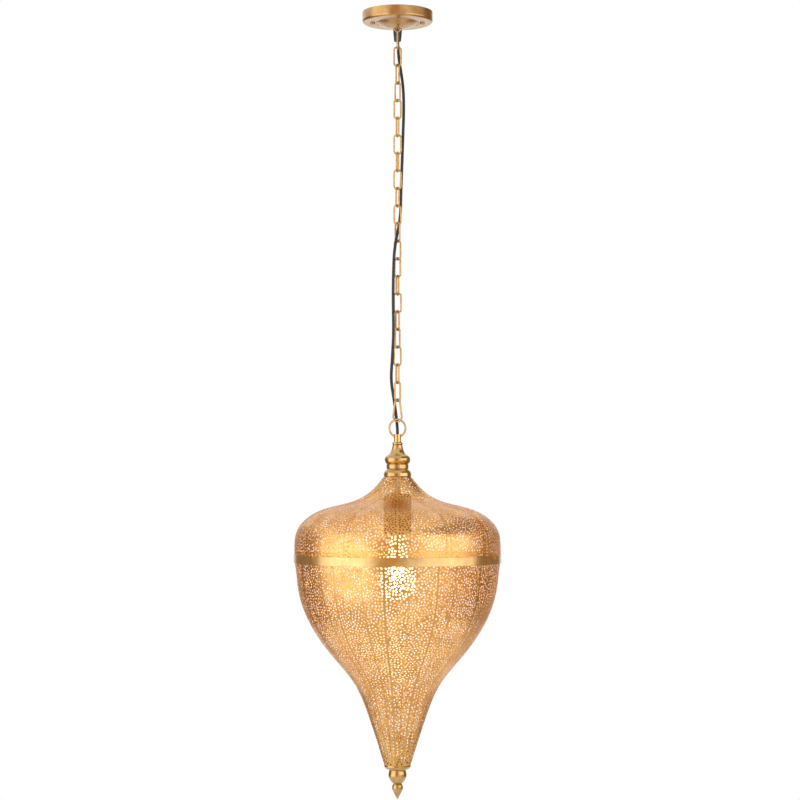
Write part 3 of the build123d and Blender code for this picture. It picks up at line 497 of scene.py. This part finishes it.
def grain_at(centre, angle, length):
    """A grain's middle line, between the centres of its round ends."""
    half = (length - GRAIN_WIDTH) / 2
    step = (half * cos(angle), half * sin(angle))
    return (centre[0] - step[0], centre[1] - step[1]), (centre[0] + step[0], centre[1] + step[1])


def flat_points(half_width, length, count, draw):
    """Random points, evenly dense over a flat gore inside its margins."""
    points = np.empty((0, 2))
    widest = half_width(np.linspace(0, length, WIDTH_STOPS)).max()
    while len(points) < count:
        along = draw.uniform(END_MARGIN, length - END_MARGIN, 2 * count)
        across = draw.uniform(-widest, widest, 2 * count)
        inside = np.abs(across) < half_width(along) - SEAM_MARGIN
        points = np.concatenate([points, np.stack([along, across], 1)[inside]])
    return points[:count]


def even_centres(half_width, length, draw):
    """Centres for the grains: random points, each moved several times to the middle of its own ground."""
    stops = np.linspace(0, length, AREA_STOPS)
    count = int(np.trapz(2 * half_width(stops), stops) / GRAIN_AREA)
    centres = flat_points(half_width, length, count, draw)
    for _ in range(GRAIN_SPREADS):
        ground = flat_points(half_width, length, count * GRAIN_SAMPLES, draw)
        owner = np.concatenate([
            np.argmin(np.sum((part[:, None] - centres[None]) ** 2, axis=2), axis=1)
            for part in np.array_split(ground, GRAIN_SAMPLES)
        ])
        shares = np.maximum(np.bincount(owner, minlength=count), 1)
        for axis in (0, 1):
            sums = np.bincount(owner, weights=ground[:, axis], minlength=count)
            centres[:, axis] = np.where(sums == 0, centres[:, axis], sums / shares)
    return centres


def inside_gore(grain, half_width, length):
    """Whether a grain keeps off the gore's seams and ends."""
    return all(
        abs(point[1]) + GRAIN_WIDTH / 2 + SEAM_MARGIN < half_width(point[0])
        and END_MARGIN < point[0] - GRAIN_WIDTH / 2
        and point[0] + GRAIN_WIDTH / 2 < length - END_MARGIN
        for point in grain
    )


def scatter_grains(half_width, length, draw):
    """Evenly spread grains at any angle, each turned until it stands clear of the ones placed before.

    Where no angle leaves a full web, the widest web counts, and where no long grain fits, a short one is
    tried.
    """
    cell = GRAIN_LENGTH + GRAIN_WEB
    grid = {}
    grains = []
    for centre in even_centres(half_width, length, draw):
        key = (int(centre[0] // cell), int(centre[1] // cell))
        around = [(key[0] + column, key[1] + row) for column in (-1, 0, 1) for row in (-1, 0, 1)]
        near = [other for place in around for other in grid.get(place, ())]
        best = None
        widest_web = GRAIN_THIN_WEB
        for attempt in range(GRAIN_TRIES):
            if best and (widest_web > GRAIN_WEB or attempt >= GRAIN_LONG_TRIES):
                break
            size = GRAIN_LENGTH if attempt < GRAIN_LONG_TRIES else GRAIN_SHORT
            grain = grain_at(centre, draw.uniform(0, pi), size)
            if not inside_gore(grain, half_width, length):
                continue
            web = min((gap_between(grain, other) for other in near), default=FAR_APART) - GRAIN_WIDTH
            if web > widest_web:
                best, widest_web = grain, web
        if best:
            grid.setdefault(key, []).append(best)
            grains.append(best)
    return grains


def grain_outline(grain):
    """Points round a grain, an ellipse as long and as wide as the grain."""
    (ax, ay), (bx, by) = grain
    middle = ((ax + bx) / 2, (ay + by) / 2)
    length = hypot(bx - ax, by - ay)
    ux, uy = (bx - ax) / length, (by - ay) / length
    outline = []
    for i in range(GRAIN_SIDES):
        turn = 2 * pi * (i + 0.5) / GRAIN_SIDES
        x = (length + GRAIN_WIDTH) / 2 * cos(turn)
        y = GRAIN_WIDTH / 2 * sin(turn)
        outline.append((middle[0] + x * ux - y * uy, middle[1] + x * uy + y * ux))
    return outline


def gore_outline(half_width, length):
    """Points round a flat gore, along it and across it."""
    sides = np.linspace(0, length, int(length / GORE_SIDE_STEP))
    outline = [(0.0, t * half_width(0)) for t in np.linspace(-1, 1, GORE_END_STOPS)]
    outline += [(s, half_width(s)) for s in sides[1:-1]]
    outline += [(length, t * half_width(length)) for t in np.linspace(1, -1, GORE_END_STOPS)]
    outline += [(s, -half_width(s)) for s in sides[-2:0:-1]]
    return outline


def pierced_flat(half_width, length, draw):
    """A flat gore with its grains cut out: points along and across it, and triangles."""
    flat = [Vector(point) for point in gore_outline(half_width, length)]
    loops = [list(range(len(flat)))]
    hole_of = [NO_HOLE] * len(flat)
    for number, grain in enumerate(scatter_grains(half_width, length, draw)):
        first = len(flat)
        flat += [Vector(point) for point in grain_outline(grain)]
        hole_of += [number] * GRAIN_SIDES
        loops.append(list(range(first, first + GRAIN_SIDES)))
    edges = [(a, b) for loop in loops for a, b in zip(loop, loop[1:] + loop[:1])]
    points, _, faces, origins, _, _ = delaunay_2d_cdt(flat, edges, [], TRIANGLES_INSIDE, FLAT_TOLERANCE)
    holes = [hole_of[origin[0]] if origin else NO_HOLE for origin in origins]
    kept = [face for face in faces if len({holes[v] for v in face}) > 1 or holes[face[0]] == NO_HOLE]
    return np.array([(p.x, p.y) for p in points]), np.array(kept)


def bend_round(places, profile):
    """Bends flat places round the axis onto a profile: the points in space and their outward normals."""
    radii, heights, along = profile
    r = np.interp(places[:, 0], along, radii)
    z = np.interp(places[:, 0], along, heights)
    turn = places[:, 1] / r
    tangent_r = np.interp(places[:, 0], along, np.gradient(radii, along))
    tangent_z = np.interp(places[:, 0], along, np.gradient(heights, along))
    size = np.hypot(tangent_r, tangent_z)
    outward = -tangent_z / size
    normals = np.stack([outward * np.cos(turn), outward * np.sin(turn), tangent_r / size], 1)
    return np.stack([r * np.cos(turn), r * np.sin(turn), z], 1), normals


def rim_edges(triangles):
    """The edges that only one triangle has, each in that triangle's direction."""
    rims = {}
    for a, b, c in triangles:
        for edge in ((a, b), (b, c), (c, a)):
            if (edge[1], edge[0]) in rims:
                del rims[(edge[1], edge[0])]
            else:
                rims[edge] = True
    return list(rims)


def gore_mesh(name, profile, draw):
    """One pierced gore about the +X direction, as a closed sheet with every hole cut through."""
    radii, _, along = profile
    half_angle = pi / GORES - SEAM_GAP / 2

    def half_width(position):
        return np.interp(position, along, radii) * half_angle

    places, front = pierced_flat(half_width, along[-1], draw)
    outer, normals = bend_round(places, profile)
    inner = outer - SHEET * normals
    count = len(outer)
    corners = outer[front]
    upright = np.cross(corners[:, 1] - corners[:, 0], corners[:, 2] - corners[:, 0])
    inward = np.einsum("ij,ij->i", upright, normals[front[:, 0]]) < 0
    front[inward] = front[inward][:, ::-1]
    rims = rim_edges(front)
    walls = [(b, a, a + count, b + count) for a, b in rims]
    mesh = bpy.data.meshes.new(name)
    mesh.from_pydata(
        np.concatenate([outer, inner]).tolist(),
        [],
        front.tolist() + (front[:, ::-1] + count).tolist() + walls,
    )
    seam_distance = half_width(places[:, 0]) - np.abs(places[:, 1])
    seam = np.clip(1 - seam_distance / SEAM_STAIN, 0, 1)
    stain = mesh.attributes.new("seam", "FLOAT", "POINT")
    stain.data.foreach_set("value", np.tile(seam, 2).astype(np.float32))
    wall_normals = []
    for a, b in rims:
        side = Vector(outer[b] - outer[a]).cross(Vector(normals[a])).normalized()
        wall_normals += [side] * 4
    corner_normals = np.concatenate([
        normals[front.ravel()],
        -normals[front[:, ::-1].ravel()],
        np.array(wall_normals),
    ])
    mesh.polygons.foreach_set("use_smooth", [True] * len(mesh.polygons))
    metals = np.repeat([0, 1, 2], [len(front), len(front), len(walls)])
    mesh.polygons.foreach_set("material_index", metals.astype(np.int32))
    mesh.update()
    mesh.normals_split_custom_set(corner_normals.tolist())
    return mesh


def add_piece(mesh, node):
    """Puts a mesh into the scene as a piece of the lantern that stands for a node."""
    piece = bpy.data.objects.new(mesh.name, mesh)
    scene.collection.objects.link(piece)
    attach(piece, "lantern")
    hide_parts(node)


def make_gores(prefix, node, profile, seam_turn, metals, seed):
    """A ring of gores that stands for one node, each on a pattern shared with every third neighbour.

    Their metals are the outside, the inside with painted light of the bulb, and the cut edges.
    """
    patterns = [
        gore_mesh(f"{prefix}_pattern_{i}", profile, np.random.default_rng(seed + i))
        for i in range(GORE_PATTERNS)
    ]
    for i in range(GORES):
        mesh = patterns[i % GORE_PATTERNS].copy()
        mesh.name = f"{prefix}_{i + 1:02d}"
        mesh.transform(Matrix.Rotation(seam_turn + (i + 0.5) * 2 * pi / GORES, 4, "Z"))
        for metal in metals:
            mesh.materials.append(metal)
        add_piece(mesh, node)
    for pattern in patterns:
        bpy.data.meshes.remove(pattern)


def make_straps(name, node, profile, seam_turn, material):
    """Narrow straps behind the seams of one ring of gores."""
    radii, heights, along = profile
    slope_r = np.gradient(radii, along)
    slope_z = np.gradient(heights, along)
    size = np.hypot(slope_r, slope_z)
    count = len(radii)
    section = ((STRAP_FRONT, -0.5), (STRAP_FRONT, 0.5), (STRAP_BACK, 0.5), (STRAP_BACK, -0.5))
    verts = []
    faces = []
    for i in range(GORES):
        turn = seam_turn + i * 2 * pi / GORES
        out = np.array([cos(turn), sin(turn), 0])
        side = np.array([-sin(turn), cos(turn), 0])
        first = len(verts)
        for depth, half in section:
            for r, z, dr, dz in zip(radii, heights, slope_r / size, slope_z / size):
                place = (r + depth * dz) * out + half * STRAP_WIDTH * side
                verts.append((place[0], place[1], z - depth * dr))
        starts = [first + k * count for k in range(len(section))]
        for a, b in zip(starts, starts[1:] + starts[:1]):
            faces += [(a + j, b + j, b + j + 1, a + j + 1) for j in range(count - 1)]
        faces.append(tuple(reversed(starts)))
        faces.append(tuple(start + count - 1 for start in starts))
    mesh = bpy.data.meshes.new(name)
    mesh.from_pydata(verts, [], faces)
    mesh.materials.append(material)
    add_piece(mesh, node)


def make_shade(metals, seam):
    """The two rings of pierced gores and the straps behind their seams."""
    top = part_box("shade_top_plate")[1].z
    edge = top - UPPER_HEIGHT
    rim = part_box("shade_band")[1].x - BAND_INSET
    upper = [(radius * MM, top - drop * MM) for radius, drop in UPPER_OUTLINE]
    upper += [(rim, top - UPPER_SHOULDER_DROP), (rim, edge)]
    lower = [(rim, edge - EDGE_GAP)]
    lower += [(radius * MM, edge - EDGE_GAP - drop * MM) for radius, drop in LOWER_OUTLINE]
    upper_profile = curve_through(upper, UPPER_START_SLOPE, PLUMB, PROFILE_STEP)
    lower_profile = curve_through(lower, PLUMB, LOWER_END_SLOPE, PROFILE_STEP)
    make_gores("upper_gore", "upper_gores", upper_profile, UPPER_SEAM_TURN, metals, UPPER_SEED)
    make_gores("lower_gore", "lower_gores", lower_profile, LOWER_SEAM_TURN, metals, LOWER_SEED)
    make_straps("upper_straps", "upper_seam_straps", upper_profile, UPPER_SEAM_TURN, seam)
    make_straps("lower_straps", "lower_seam_straps", lower_profile, LOWER_SEAM_TURN, seam)


def lathe_mesh(name, outline, closed):
    """A solid turned from an outline of radius and height, with its corners kept sharp.

    A closed outline leaves a hole along the axis. An open one has a disc at each end.
    """
    turns = [2 * pi * k / LATHE_SIDES for k in range(LATHE_SIDES)]
    verts = [(radius * cos(turn), radius * sin(turn), height) for radius, height in outline for turn in turns]
    rings = len(outline)
    faces = []
    for i in range(rings if closed else rings - 1):
        ring = i * LATHE_SIDES
        following = (i + 1) % rings * LATHE_SIDES
        for k in range(LATHE_SIDES):
            beside = (k + 1) % LATHE_SIDES
            faces.append((ring + k, following + k, following + beside, ring + beside))
    if not closed:
        faces.append(tuple(range(LATHE_SIDES)))
        faces.append(tuple(reversed(range((rings - 1) * LATHE_SIDES, rings * LATHE_SIDES))))
    mesh = bpy.data.meshes.new(name)
    mesh.from_pydata(verts, [], faces)
    mesh.polygons.foreach_set("use_smooth", [True] * len(faces))
    mesh.set_sharp_from_angle(angle=LATHE_EDGE)
    mesh.update()
    return mesh


def turned_curve(points, slopes, top):
    """A smooth stretch of a turned outline, from radii and drops below a height."""
    places = [(radius * MM, top - drop * MM) for radius, drop in points]
    radii, heights, _ = curve_through(places, *slopes, LATHE_STEP)
    return list(zip(radii, heights))


def make_collar(name, node, material, points, slopes):
    """A turned piece with a hole for the nipple."""
    low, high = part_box(node)
    outline = [(NIPPLE_HOLE, high.z), *turned_curve(points, slopes, high.z), (NIPPLE_HOLE, low.z)]
    mesh = lathe_mesh(name, outline, closed=True)
    mesh.materials.append(material)
    add_piece(mesh, node)


def make_finial(material):
    """The turned drop under the shade: a ball, a bead and a pointed cone, with its stud."""
    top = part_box("bottom_collar")[0].z
    low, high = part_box("finial")
    outline = [(FINIAL_STUD, high.z), (FINIAL_STUD, top), (FINIAL_NECK, top)]
    outline += turned_curve(FINIAL_BALL, FINIAL_BALL_SLOPES, top)
    outline += turned_curve(FINIAL_BEAD, FINIAL_BEAD_SLOPES, top)
    outline.append((FINIAL_TIP, low.z))
    mesh = lathe_mesh("finial_drop", outline, closed=False)
    mesh.materials.append(material)
    add_piece(mesh, "finial")


def cord_centreline(points):
    """Points along a smooth curve that has the route as its control points."""
    curve = bpy.data.curves.new("cord_route", "CURVE")
    curve.dimensions = "3D"
    curve.resolution_u = CORD_RESOLUTION
    spline = curve.splines.new("NURBS")
    spline.points.add(len(points) - 1)
    for control, point in zip(spline.points, points):
        control.co = (*point, 1)
    spline.order_u = CORD_ORDER
    spline.use_endpoint_u = True
    route = bpy.data.objects.new("cord_route", curve)
    mesh = bpy.data.meshes.new_from_object(route)
    line = [vertex.co.copy() for vertex in mesh.vertices]
    bpy.data.objects.remove(route)
    bpy.data.curves.remove(curve)
    bpy.data.meshes.remove(mesh)
    return line


def cut_line(line, cuts):
    """Splits a line of points at the given lengths along it."""
    stretches = []
    current = [line[0]]
    travelled = 0.0
    cuts = list(cuts)
    for start, end in zip(line, line[1:]):
        run = (end - start).length
        while cuts and travelled + run >= cuts[0]:
            point = start.lerp(end, (cuts.pop(0) - travelled) / run)
            current.append(point)
            stretches.append(current)
            current = [point]
        if (end - current[-1]).length > CORD_SHORTEST_STEP:
            current.append(end)
        travelled += run
    stretches.append(current)
    return stretches


def line_length(line):
    return sum((b - a).length for a, b in zip(line, line[1:]))


def tube_mesh(name, line, side, before, after):
    """A round tube along a line, and the side direction to start the next stretch with."""
    verts = []
    faces = []
    for i, point in enumerate(line):
        ahead = line[i + 1] if i + 1 < len(line) else (after or point)
        behind = line[i - 1] if i else (before or point)
        heading = (ahead - behind).normalized()
        side = (side - heading * side.dot(heading)).normalized()
        up = heading.cross(side)
        for k in range(CORD_SIDES):
            turn = 2 * pi * k / CORD_SIDES
            verts.append(point + CORD_DIA / 2 * (cos(turn) * side + sin(turn) * up))
    for i in range(len(line) - 1):
        for k in range(CORD_SIDES):
            a = i * CORD_SIDES + k
            b = i * CORD_SIDES + (k + 1) % CORD_SIDES
            faces.append((a, b, b + CORD_SIDES, a + CORD_SIDES))
    faces.append(tuple(reversed(range(CORD_SIDES))))
    faces.append(tuple(range((len(line) - 1) * CORD_SIDES, len(line) * CORD_SIDES)))
    mesh = bpy.data.meshes.new(name)
    mesh.from_pydata(verts, [], faces)
    mesh.polygons.foreach_set("use_smooth", [True] * (len(faces) - 2) + [False] * 2)
    mesh.update()
    return mesh, side


def make_cord(material):
    """The cord in stretches, one for each joint that it passes."""
    line = cord_centreline([Vector(point) * MM for point in CORD_ROUTE])
    joints = [joint for joint in frame["joints"] if joint["child"] not in PAST_CORD]
    first = line_length(line) - CORD_STRETCH * (len(joints) - 1)
    stretches = cut_line(line, [first + CORD_STRETCH * i for i in range(len(joints) - 1)])
    side = Vector((1, 0, 0))
    for number, (joint, stretch) in enumerate(zip(joints, stretches)):
        before = stretches[number - 1][-2] if number else None
        after = stretches[number + 1][1] if number + 1 < len(stretches) else None
        mesh, side = tube_mesh(f"cord_{number + 1:02d}", stretch, side, before, after)
        mesh.materials.append(material)
        piece = bpy.data.objects.new(mesh.name, mesh)
        scene.collection.objects.link(piece)
        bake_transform(piece)
        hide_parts("power_cord")
        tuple(stretch[0])
        line_length(stretch)


def paint(material, names):
    for name in names:
        slots = nodes[name].data.materials
        slots.clear()
        slots.append(material)


def make_lantern():
    """Gives every node its finish, and makes the pieces that stand for a node with a finer shape."""
    finishes = make_finishes()
    for finish, names in PAINTED.items():
        paint(finishes[finish], names)
    paint(finishes["chain_brass"], [name for name in nodes if name.startswith(CHAIN_LINK_PREFIX)])
    brass = finishes["turned_brass"]
    brown = finishes["socket_brown"]
    make_collar("vase_body", "neck_vase", brass, VASE, VASE_SLOPES)
    make_collar("flange_bell", "neck_flange", brass, FLANGE, FLANGE_SLOPES)
    make_finial(brass)
    make_collar("holder_cap", "socket_cap", brown, HOLDER_CAP, HOLDER_CAP_SLOPES)
    make_cord(finishes["cord_black"])
    # The inside metal is painted paler, as light from the bulb.
    metals = [finishes[name] for name in ("shade_brass", "shade_inside_painted_light", "shade_cut_edge")]
    make_shade(metals, finishes["seam_brass"])


def make_world():
    """A white world for what the camera and the metal see, and a softer one for diffuse light."""
    world = bpy.data.worlds.new("studio")
    world.use_nodes = True
    scene.world = world
    tree = world.node_tree
    path = add_node(tree, "ShaderNodeLightPath")
    seen = path.outputs["Is Camera Ray"]
    for ray in ("Is Glossy Ray", "Is Transmission Ray"):
        either = add_node(tree, "ShaderNodeMath", operation="MAXIMUM")
        tree.links.new(seen, either.inputs[0])
        tree.links.new(path.outputs[ray], either.inputs[1])
        seen = either.outputs[0]
    strength = map_range(tree, seen, 0, 1, WORLD_DIFFUSE, WORLD_SEEN)
    background = tree.nodes["Background"]
    set_inputs(background, {"Color": (1, 1, 1, 1)})
    tree.links.new(strength, background.inputs["Strength"])


def bearing(azimuth, distance, height):
    """A point round the lantern's axis: azimuth 0 is towards the viewer and grows to the viewer's right."""
    turn = radians(azimuth)
    return Vector((distance * sin(turn), -distance * cos(turn), height))


def soft_box(name, azimuth, height, width, tall):
    """A wide lamp that faces the axis, with its power worked out from the brightness of its face."""
    data = bpy.data.lights.new(name, "AREA")
    data.shape = "RECTANGLE"
    data.size = width
    data.size_y = tall
    data.energy = SOFT_BOX_RADIANCE * pi * width * tall
    lamp = bpy.data.objects.new(name, data)
    lamp.location = bearing(azimuth, SOFT_BOX_DISTANCE, height)
    lamp.rotation_euler = (bearing(0, 0, height) - lamp.location).to_track_quat("-Z", "Y").to_euler()
    scene.collection.objects.link(lamp)


def dark_card(name, azimuths, distance, heights, colour):
    """A curved card round the axis, between two azimuths and two heights, that only reflections see."""
    verts = []
    for i in range(CARD_STEPS + 1):
        azimuth = azimuths[0] + (azimuths[1] - azimuths[0]) * i / CARD_STEPS
        verts += [bearing(azimuth, distance, height) for height in heights]
    faces = [(2 * i, 2 * i + 2, 2 * i + 3, 2 * i + 1) for i in range(CARD_STEPS)]
    mesh = bpy.data.meshes.new(name)
    mesh.from_pydata(verts, [], faces)
    material, _, shader = new_material(name)
    set_inputs(shader, {"Base Color": opaque(colour), "Roughness": 1})
    mesh.materials.append(material)
    card = bpy.data.objects.new(name, mesh)
    card.visible_camera = False
    card.visible_diffuse = False
    card.visible_shadow = False
    card.visible_transmission = False
    scene.collection.objects.link(card)


def make_floor():
    """A pale floor, white in the metal's reflections."""
    mesh = bpy.data.meshes.new("floor")
    turns = [2 * pi * i / FLOOR_SIDES for i in range(FLOOR_SIDES)]
    mesh.from_pydata(
        [(FLOOR_RADIUS * cos(turn), FLOOR_RADIUS * sin(turn), FLOOR_HEIGHT) for turn in turns],
        [],
        [tuple(range(FLOOR_SIDES))],
    )
    material, tree, shader = new_material("floor")
    set_inputs(shader, {"Base Color": opaque(FLOOR_COLOUR), "Roughness": FLOOR_ROUGHNESS})
    white = add_node(tree, "ShaderNodeEmission", Strength=FLOOR_REFLECTED)
    swap_for_ray(tree, "Is Glossy Ray", shader, white)
    mesh.materials.append(material)
    floor = bpy.data.objects.new("floor", mesh)
    scene.collection.objects.link(floor)


def make_camera():
    data = bpy.data.cameras.new("camera")
    data.sensor_width = SENSOR_WIDTH
    data.lens = FOCAL_PIXELS * SENSOR_WIDTH / IMAGE_PIXELS
    camera = bpy.data.objects.new("camera", data)
    camera.location = (AIM_SIDE, -CAMERA_DISTANCE, CAMERA_HEIGHT)
    aim = Vector((AIM_SIDE, 0, AIM_HEIGHT)) - camera.location
    camera.rotation_euler = aim.to_track_quat("-Z", "Y").to_euler()
    scene.collection.objects.link(camera)
    scene.camera = camera


make_lantern()
make_world()
make_floor()
soft_box("left_soft_box", azimuth=-60, height=-0.7, width=2.7, tall=2.6)
soft_box("right_soft_box", azimuth=56, height=-0.4, width=2.8, tall=1.5)
dark_card("front_flag", azimuths=(-24, 6), distance=6.0, heights=(-4.0, 3.0), colour=CARD_AMBER)
dark_card("left_flag", azimuths=(-152, -92), distance=3.2, heights=(-5.0, 0.3), colour=CARD_BROWN)
dark_card("right_flag", azimuths=(94, 152), distance=3.2, heights=(-5.0, 3.0), colour=CARD_BROWN)
dark_card("low_flag", azimuths=(62, 94), distance=3.0, heights=(-5.0, -1.2), colour=CARD_TAN)
dark_card("high_flag", azimuths=(44, 94), distance=2.6, heights=(0.6, 3.6), colour=CARD_DARK)
make_camera()
